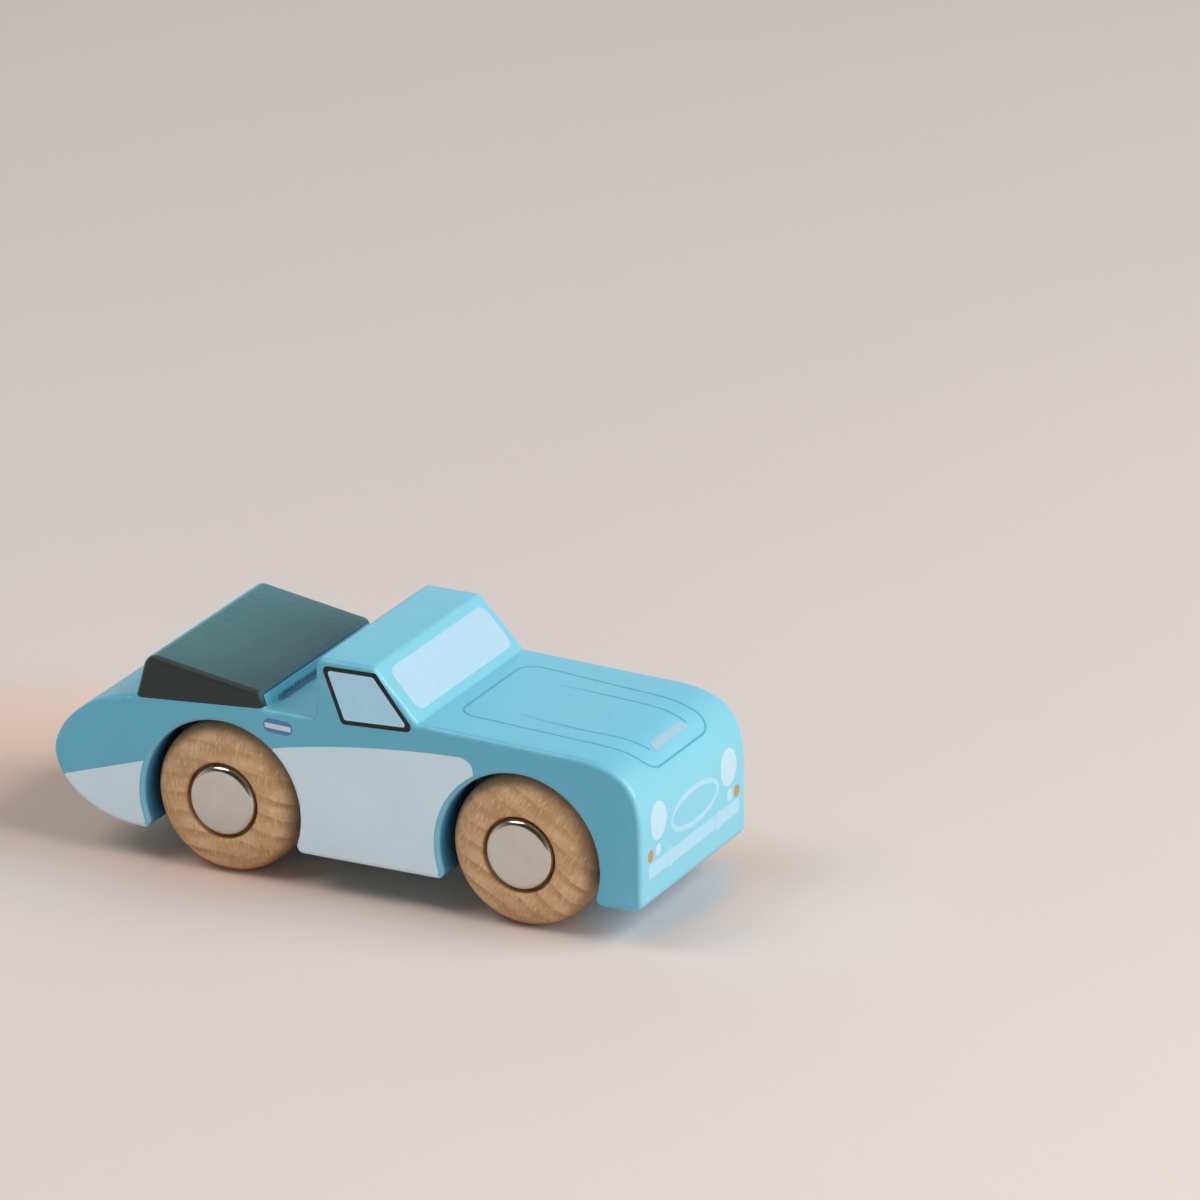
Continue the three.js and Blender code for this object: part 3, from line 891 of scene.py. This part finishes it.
def ragged_dark_band(finish, tone):
    """Ragged darker tone at the rear of the cockpit floor: noise, kept to a band along the lip's foot."""
    foot = finish.place(((LIP_FOOT[0] + 0.2) * MM, 0, LIP_FOOT[1] * MM))
    x, y, z = (finish.maths("ABSOLUTE", axis) for axis in finish.axes(foot))
    near_foot, near_floor = finish.spread(x, 1.6 * MM, 0.2 * MM), finish.spread(z, 1.6 * MM, 0.6 * MM)
    band = finish.maths("MULTIPLY", near_foot, near_floor)
    inside = finish.maths("MULTIPLY", band, finish.spread(y, 16.5 * MM, 14.0 * MM))
    ragged = finish.noise(finish.place(stretch=(2, 1, 2)), 3200, 3, 0.6)
    finish.over(finish.spread(finish.maths("MULTIPLY", inside, ragged), 0.24, 0.44, 0, 0.8), tone)


def paint_pocket_shade(finish, tone):
    """Painted shade inside the arches: a darker tone mixed in, rising with the depth below the sides."""
    across = finish.axes(finish.place())[1]
    finish.over(finish.spread(finish.maths("ABSOLUTE", across), 18.4 * MM, 13.5 * MM, smooth=True), tone)


def paint_front_highlight(finish, tone, share):
    """Painted highlight on the faces that look forward, towards the lamp ahead: a paler tone mixed in,
    rising with the mesh's own attribute.
    """
    ahead = finish.add("ShaderNodeAttribute", attribute_name="front_facing").outputs["Fac"]
    finish.over(finish.spread(ahead, 0.1, 0.7, 0, share, smooth=True), tone)


def ink_finish(name, base, roughness=0.45):
    """Printed ink: a thin even film with a faint mottle and the grain of the wood under it."""
    finish = Finish(name)
    mottle = finish.noise(finish.place(), 1100, 3)
    fibre = finish.noise(finish.place(stretch=(14, 1, 1)), 1500, 3)
    finish.set(
        base_color=finish.mottle(mottle, base, 0.975, 1.025),
        roughness=finish.spread(mottle, 0.3, 0.7, roughness - 0.05, roughness + 0.05),
    )
    finish.relief(fibre, 0.2, 0.1 * MM)
    return finish.material


def beech_finish(name, wheel, centre, turn):
    """Turned beech: growth rings as circles about a far centre, short ray flecks across them, fine pores,
    a rim darkened partly by burnish and partly by painted shade, and painted shade round the hub recess."""
    finish = Finish(name)
    where = finish.place(centre, turn)
    x, _, z = finish.axes(where)
    reach = finish.maths("SQRT", finish.squares(x, finish.maths("ADD", z, 50 * MM)))
    bent = finish.maths("MULTIPLY_ADD", finish.noise(where, 120, 2), 1.4 * MM, reach)
    step = finish.maths("FRACT", finish.maths("DIVIDE", bent, wheel.ring_spacing))
    rise, fall = finish.spread(step, 0.35, 0.95, smooth=True), finish.spread(step, 1.0, 0.95)
    late = finish.maths("MULTIPLY", rise, fall)
    fibre = finish.noise(finish.place(centre, turn, (10, 3, 1)), 1500, 4, 0.6)
    ray = finish.noise(finish.place(centre, turn, (1, 2, 3.5)), 2400, 3)
    blotch = finish.noise(where, 150, 4)
    brown, pale = tinted(wheel.beech, wheel.ring, 0.7), shade(wheel.beech, 1.13)
    wood = finish.mix(finish.spread(blotch, 0.32, 0.68), brown, pale)
    ring_share = finish.maths("MULTIPLY", late, finish.spread(blotch, 0.4, 0.65, 0.3, 0.9))
    ringed = finish.mix(ring_share, wood, wheel.ring)
    grained = finish.mix(finish.spread(fibre, 0.5, 0.75, 0, 0.3), ringed, shade(wheel.ring, 0.9))
    rayed = finish.mix(finish.spread(ray, 0.54, 0.66, 0, 0.65), grained, shade(wheel.beech, 1.14))
    pored = finish.mix(finish.spread(ray, 0.44, 0.3, 0, 0.55), rayed, wheel.ring)
    radius = finish.maths("SQRT", finish.squares(x, z))
    # Darker rim: partly burnish, partly painted shade where the rim turns away and lies under the arch.
    rim = finish.spread(radius, 11.6 * MM, 13.6 * MM, 0, 0.7, smooth=True)
    rim_shaded = finish.mix(rim, pored, shade(wheel.ring, 0.7))
    # Painted shade round the hub recess.
    hub = finish.spread(radius, 6.8 * MM, 6.6 * MM, smooth=True)
    finish.set(
        base_color=finish.mix(hub, rim_shaded, wheel.recess_shade),
        roughness=finish.spread(fibre, 0.3, 0.7, 0.5, 0.68),
    )
    finish.relief(finish.maths("MULTIPLY_ADD", late, -0.3, fibre), 0.3, 0.15 * MM)
    return finish.material


def metal_finish(name, base, roughness, scratch, stretch=(1, 1, 1)):
    """Bare or plated metal: fine scratches in the gloss and a faint uneven tone."""
    finish = Finish(name)
    tone = finish.noise(finish.place(), 350, 3)
    mark = finish.noise(finish.place(stretch=stretch), 2400, 4, 0.6)
    finish.set(
        base_color=finish.mottle(tone, base, 0.95, 1.03),
        metallic=1.0,
        roughness=finish.spread(mark, 0.25, 0.75, roughness - scratch, roughness + scratch),
    )
    finish.relief(mark, 0.05, 0.04 * MM)
    return finish.material


# Operators


def print_settings(scene):
    """Paints, outline and thickness, in millimetres, that the prints share."""
    return scene.toycar_paint, Outline(scene.toycar_body), scene.toycar_body.print_lift / MM


class TOYCAR_OT_body(bpy.types.Operator):
    """Makes the painted block with its arches, pockets and axle bores"""

    bl_idname = "toycar.body"
    bl_label = "Painted Block"

    def execute(self, context):
        paint = context.scene.toycar_paint
        line = Outline(context.scene.toycar_body)
        draft = body_shell(line)
        vertices = np.vstack(draft.vertices)
        pale = (0.75, 0.9, 0.96)
        blue = paint_finish("blue_paint", paint.body, tinted(paint.body, pale, 0.75), 0.36, 0.12, 0.6)
        white = paint_finish("panel_paint", paint.panel, pale, 0.5, 0.1, 0.5)
        dark = paint_finish("soft_top_paint", paint.soft_top, shade(paint.soft_top, 1.6), 0.5, 0.3, 0.3)
        deep = paint_finish("pocket_paint", paint.pocket, paint.body, 0.42, 0.1, 0.6)
        dark.set(
            specular_ior_level=0.35, sheen_weight=0.9, sheen_roughness=0.44, sheen_tint=(0.2, 0.74, 0.92)
        )
        # A ragged darker band in the corner at the lip's foot.
        ragged_dark_band(blue, shade(paint.pocket, 0.2))
        # Painted highlight: the nose and the other forward faces of the blue paint made paler, as where the
        # lamp ahead falls.
        paint_front_highlight(blue, (0.45, 0.68, 0.65), 0.18)
        # Painted highlight: the soft top's rounded front edge made paler, as if lit from ahead.
        paint_front_highlight(dark, tinted(paint.soft_top, paint.body, 0.25), 0.7)
        # Painted shade: the arch pockets darker the deeper they go.
        paint_pocket_shade(deep, shade(paint.pocket, 0.25))
        block = new_piece(
            "painted_block", vertices, draft.faces, "car_body",
            [coat.material for coat in (blue, white, dark, deep)], draft.paints, ["body"],
        )
        normals = np.empty(vertices.size, np.float32)
        block.data.vertex_normals.foreach_get("vector", normals)
        # How far each point faces forward, for the painted highlight; the lip's own wall is left out.
        ahead = np.where(np.abs(vertices[:, 0] - LIP_FOOT[0]) > LIP_PLAIN, normals[::3], 0)
        for name, values in (("edge_wear_and_highlight", np.concatenate(draft.wear_and_highlight)), ("front_facing", ahead)):
            block.data.attributes.new(name, "FLOAT", "POINT").data.foreach_set("value", values)
        return {"FINISHED"}


class TOYCAR_OT_side_prints(bpy.types.Operator):
    """Prints a window and a door handle on each side"""

    bl_idname = "toycar.side_prints"
    bl_label = "Side Prints"

    def execute(self, context):
        paint, line, lift = print_settings(context.scene)
        inks = [
            ink_finish("window_line_ink", paint.outline, 0.5),
            ink_finish("window_ink", paint.window),
            ink_finish("handle_ink", paint.handle),
            ink_finish("handle_stripe_ink", paint.stripe),
        ]
        glass = shrunk(WINDOW, WINDOW_LINE)
        for hand, side in HANDS.items():
            art = Print(side_lay(line, side), lift)
            inner = rounded_polygon(glass, WINDOW_ROUND / 2)
            art.band(rounded_polygon(WINDOW, WINDOW_ROUND), inner, 0)
            art.patch(inner, 1)
            art.patch(rounded_polygon(HANDLE, HANDLE_ROUND), 2)
            art.lift = 2 * lift
            art.patch(rounded_polygon(HANDLE_STRIPE, HANDLE_STRIPE_ROUND), 3)
            art.piece(f"{hand}_side_prints", inks)
        return {"FINISHED"}


class TOYCAR_OT_bonnet_prints(bpy.types.Operator):
    """Prints the windscreen panel, the bonnet outline, its creases and the vent"""

    bl_idname = "toycar.bonnet_prints"
    bl_label = "Screen and Bonnet Prints"

    def execute(self, context):
        paint, line, lift = print_settings(context.scene)
        inks = [
            ink_finish("screen_ink", paint.screen, 0.4),
            ink_finish("crease_ink", paint.crease, 0.45),
            ink_finish("vent_ink", paint.vent, 0.4),
        ]
        art = Print(front_lay(line), lift)
        art.patch(rounded_polygon(SCREEN_PRINT, SCREEN_PRINT_ROUND), 0)
        inner = shrunk(BONNET_PRINT, BONNET_LINE)
        art.band(
            rounded_polygon(BONNET_PRINT, BONNET_PRINT_ROUND),
            rounded_polygon(inner, BONNET_PRINT_ROUND - BONNET_LINE), 1,
        )
        thin, thick, most = CREASE_TAPER
        half_width = BONNET_LINE / 2 * np.clip(np.linspace(thin, thick, CREASE_POINTS), 0, most)
        for bow in CREASES:
            along = np.linspace(bow[0, 0], bow[-1, 0], CREASE_POINTS)
            art.ribbon(np.stack([along, np.polyval(np.polyfit(*bow.T, 2), along)], -1), half_width, 1)
        art.lift = 2 * lift
        art.patch(rounded_polygon(VENT, VENT_ROUND), 2)
        art.piece("screen_and_bonnet_prints", inks)
        return {"FINISHED"}


class TOYCAR_OT_front_prints(bpy.types.Operator):
    """Prints the lamps, the grille ring and the bumper on the nose"""

    bl_idname = "toycar.front_prints"
    bl_label = "Front Prints"

    def execute(self, context):
        paint, line, lift = print_settings(context.scene)
        inks = [
            ink_finish("lamp_ink", paint.lamp, 0.4),
            ink_finish("trim_ink", paint.trim, 0.42),
            ink_finish("indicator_ink", paint.indicator, 0.4),
        ]
        art = Print(front_lay(line), lift)
        art.band(oval(GRILLE_PLACE, GRILLE_HALF), oval(GRILLE_PLACE, GRILLE_HALF - GRILLE_LINE), 1)
        art.patch(rounded_polygon(BUMPER, BUMPER_ROUND), 1)
        for side in SIDES:
            flip = np.array([1, side])
            art.patch(oval(LAMP_PLACE * flip, LAMP_HALF), 0)
            art.patch(oval(SIDELIGHT_PLACE * flip, SIDELIGHT_HALF), 0)
            art.patch(oval(INDICATOR_PLACE * flip, INDICATOR_HALF), 2)
        art.lift = 2 * lift
        for side in SIDES:
            art.patch(rounded_polygon(OVERRIDER + [0, side * OVERRIDER_Y], OVERRIDER_ROUND), 1)
        art.piece("front_prints", inks)
        return {"FINISHED"}


class TOYCAR_OT_wheels(bpy.types.Operator):
    """Turns the four beech wheels"""

    bl_idname = "toycar.wheels"
    bl_label = "Beech Wheels"

    def execute(self, context):
        wheel = context.scene.toycar_wheel
        profile = wheel_profile()
        faces = grid_faces(len(profile), WHEEL_SIDES, True, True).tolist()
        for end in ENDS:
            for hand, side in HANDS.items():
                node = f"{end}_{hand}_wheel"
                centre = (AXLES[end][0] * MM, side * SIDE_Y * MM, AXLES[end][1] * MM)
                wood = beech_finish(f"{end}_{hand}_beech", wheel, centre, GRAIN_TURNS[f"{end}_{hand}"])
                outward(new_piece(
                    f"{end}_{hand}_turned_wheel", turned(profile, WHEEL_SIDES, AXLES[end], side), faces,
                    node, [wood], None, [node],
                ))
        return {"FINISHED"}


class TOYCAR_OT_caps(bpy.types.Operator):
    """Presses the four bright axle caps"""

    bl_idname = "toycar.caps"
    bl_label = "Axle Caps"

    def execute(self, context):
        profile = cap_profile()
        faces = closed_faces(len(profile) - 2, CAP_SIDES)
        plate = metal_finish("nickel_plate", context.scene.toycar_wheel.nickel, 0.1, 0.03)
        for end in ENDS:
            for hand, side in HANDS.items():
                skin = turned(profile[1:-1], CAP_SIDES, AXLES[end], side)
                poles = turned(profile[[0, -1]], 1, AXLES[end], side)
                outward(new_piece(
                    f"{end}_{hand}_pressed_cap", np.vstack([skin, poles]), faces, f"{end}_axle_set",
                    [plate], None, [f"{end}_{hand}_axle_cap"],
                ))
        return {"FINISHED"}


class TOYCAR_OT_axles(bpy.types.Operator):
    """Gives the axles and the spring washers their metal"""

    bl_idname = "toycar.axles"
    bl_label = "Axles and Springs"

    def execute(self, context):
        wheel = context.scene.toycar_wheel
        drawn = metal_finish("drawn_steel", wheel.steel, 0.32, 0.08, (1, 30, 1))
        tempered = metal_finish("tempered_steel", wheel.spring, 0.4, 0.06)
        for name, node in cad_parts.items():
            finish = tempered if name.endswith("cap_spring") else drawn if name.endswith("_axle") else None
            if finish is not None:
                node.data.materials.clear()
                node.data.materials.append(finish)
        return {"FINISHED"}


class TOYCAR_OT_stage(bpy.types.Operator):
    """Sets the floor, the soft lamps and the camera"""

    bl_idname = "toycar.stage"
    bl_label = "Stage"

    def execute(self, context):
        stage = context.scene.toycar_stage
        self.lay_floor(stage)
        self.light(context.scene, stage)
        self.aim(context.scene)
        context.scene.view_settings.view_transform = "Standard"
        return {"FINISHED"}

    def lay_floor(self, stage):
        ends = np.array([-FLOOR_REACH, FLOOR_REACH])
        x, y = np.meshgrid(ends, ends)
        corners = np.stack([x, y, 0 * x], -1).reshape(-1, 3)
        mesh = bpy.data.meshes.new("floor")
        mesh.from_pydata(corners.tolist(), [], [[0, 1, 3, 2]])
        finish = Finish("floor_paper")
        tone = finish.noise(finish.place(), 3.0, 3)
        cloud = finish.mottle(tone, stage.floor, 0.985, 1.015)
        # Painted shadow tones on the floor: warm round the car, cool under the nose.
        warm_shadowed = finish.mix(floor_oval(finish, *WARM_SHADOW_OVAL), cloud, stage.floor_warm_shadow)
        finish.set(
            base_color=finish.mix(floor_oval(finish, *COOL_SHADOW_OVAL), warm_shadowed, stage.floor_shade),
            roughness=0.9,
            specular_ior_level=0.1,
        )
        finish.relief(finish.noise(finish.place(), 900, 4), 0.15, 0.2 * MM)
        mesh.materials.append(finish.material)
        floor = bpy.data.objects.new("floor", mesh)
        bpy.context.scene.collection.objects.link(floor)

    def light(self, scene, stage):
        world = bpy.data.worlds.new("soft_sky")
        world.use_nodes = True
        nodes, links = world.node_tree.nodes, world.node_tree.links
        apart = nodes.new("ShaderNodeSeparateXYZ")
        links.new(nodes.new("ShaderNodeTexCoord").outputs["Generated"], apart.inputs["Vector"])
        sky = nodes["Background"]
        sky.inputs["Color"].default_value = (1.0, 0.975, 0.955, 1)
        level = nodes.new("ShaderNodeMath")
        level.operation = "MULTIPLY"
        links.new(level.outputs["Value"], sky.inputs["Strength"])
        limits = {"Z": (0.1, 0.5, 1.3 * stage.sky, 0.3 * stage.sky), "Y": (-0.9, -0.3, 0.2, 1.0)}
        for socket, (axis, values) in zip(level.inputs, limits.items()):
            fade = nodes.new("ShaderNodeMapRange")
            fade.interpolation_type = "SMOOTHSTEP"
            for label, value in zip(RANGE_ENDS, values):
                fade.inputs[label].default_value = value
            links.new(apart.outputs[axis], fade.inputs["Value"])
            links.new(fade.outputs["Result"], socket)
        scene.world = world
        soft_lamp("key_lamp", stage.key, (1.0, 0.97, 0.93), (1.0, 0.1, 0.65), 1.3, (1.0, 1.0))
        fill = soft_lamp("fill_panel", stage.fill, (0.95, 0.97, 0.97), (0.15, -1.0, 0.35), 1.2, (1.2, 0.7))
        fill.visible_glossy = False
        soft_lamp("top_lamp", stage.top, (1.0, 1.0, 1.0), (-0.42, -0.33, 0.81), 1.0, (0.5, 0.5))
        soft_lamp("sheen_panel", stage.sheen, (0.75, 0.97, 1.0), (-0.42, 0.83, 0.45), 1.2, (1.5, 0.8))

    def aim(self, scene):
        a, e, r = CAMERA_AZIMUTH, CAMERA_ELEVATION, CAMERA_ROLL
        level = np.array([math.cos(a), math.sin(a), 0])
        rise = np.array([-math.sin(a) * math.sin(e), math.cos(a) * math.sin(e), math.cos(e)])
        back = np.array([math.sin(a) * math.cos(e), -math.cos(a) * math.cos(e), math.sin(e)])
        right = math.cos(r) * level - math.sin(r) * rise
        up = math.sin(r) * level + math.cos(r) * rise
        lens = bpy.data.cameras.new("photo_camera")
        lens.sensor_width = SENSOR
        lens.lens = FOCAL_PIXELS / FRAME_PIXELS * SENSOR
        lens.clip_end = 20
        camera = bpy.data.objects.new("photo_camera", lens)
        place = (CAMERA_AIM + back * CAMERA_DISTANCE) * MM
        camera.matrix_world = Matrix(np.column_stack([right, up, back, place]).tolist() + [[0, 0, 0, 1]])
        scene.collection.objects.link(camera)
        scene.camera = camera


def floor_oval(finish, centre, half):
    """Share of a soft oval of painted shadow tone on the floor: full about its middle, fading to none at
    its half sizes.
    """
    x, y, _ = finish.axes(finish.place(centre, 0.0, half))
    return finish.spread(finish.squares(x, y), 1.0, 0.2, smooth=True)


def soft_lamp(name, power, tint, direction, distance, size):
    """A wide area lamp that faces the car from a direction."""
    lamp = bpy.data.lights.new(name, "AREA")
    lamp.energy = power
    lamp.color = tint
    lamp.shape = "RECTANGLE"
    lamp.size, lamp.size_y = size
    holder = bpy.data.objects.new(name, lamp)
    towards = Vector(direction).normalized()
    holder.location = towards * distance
    holder.rotation_euler = towards.to_track_quat("Z", "Y").to_euler()
    bpy.context.scene.collection.objects.link(holder)
    return holder


OPERATORS = (
    TOYCAR_OT_body,
    TOYCAR_OT_side_prints,
    TOYCAR_OT_bonnet_prints,
    TOYCAR_OT_front_prints,
    TOYCAR_OT_wheels,
    TOYCAR_OT_caps,
    TOYCAR_OT_axles,
    TOYCAR_OT_stage,
)


class TOYCAR_PT_pieces(bpy.types.Panel):
    """Lists the pieces of the toy car"""

    bl_idname = "TOYCAR_PT_pieces"
    bl_label = "Toy Car"
    bl_space_type = "VIEW_3D"
    bl_region_type = "UI"
    bl_category = "Toy Car"

    def draw(self, context):
        for operator in OPERATORS:
            self.layout.operator(operator.bl_idname)


SETTINGS = {
    "toycar_body": CarBodySettings,
    "toycar_paint": CarPaintSettings,
    "toycar_wheel": CarWheelSettings,
    "toycar_stage": CarStageSettings,
}
CLASSES = (*SETTINGS.values(), *OPERATORS, TOYCAR_PT_pieces)


def register():
    for kind in CLASSES:
        bpy.utils.register_class(kind)
    for name, kind in SETTINGS.items():
        setattr(bpy.types.Scene, name, bpy.props.PointerProperty(type=kind))


def unregister():
    for name in SETTINGS:
        delattr(bpy.types.Scene, name)
    for kind in reversed(CLASSES):
        bpy.utils.unregister_class(kind)


def main():
    register()
    for operator in OPERATORS:
        group, name = operator.bl_idname.split(".")
        getattr(getattr(bpy.ops, group), name)()


if __name__ == "__main__":
    main()
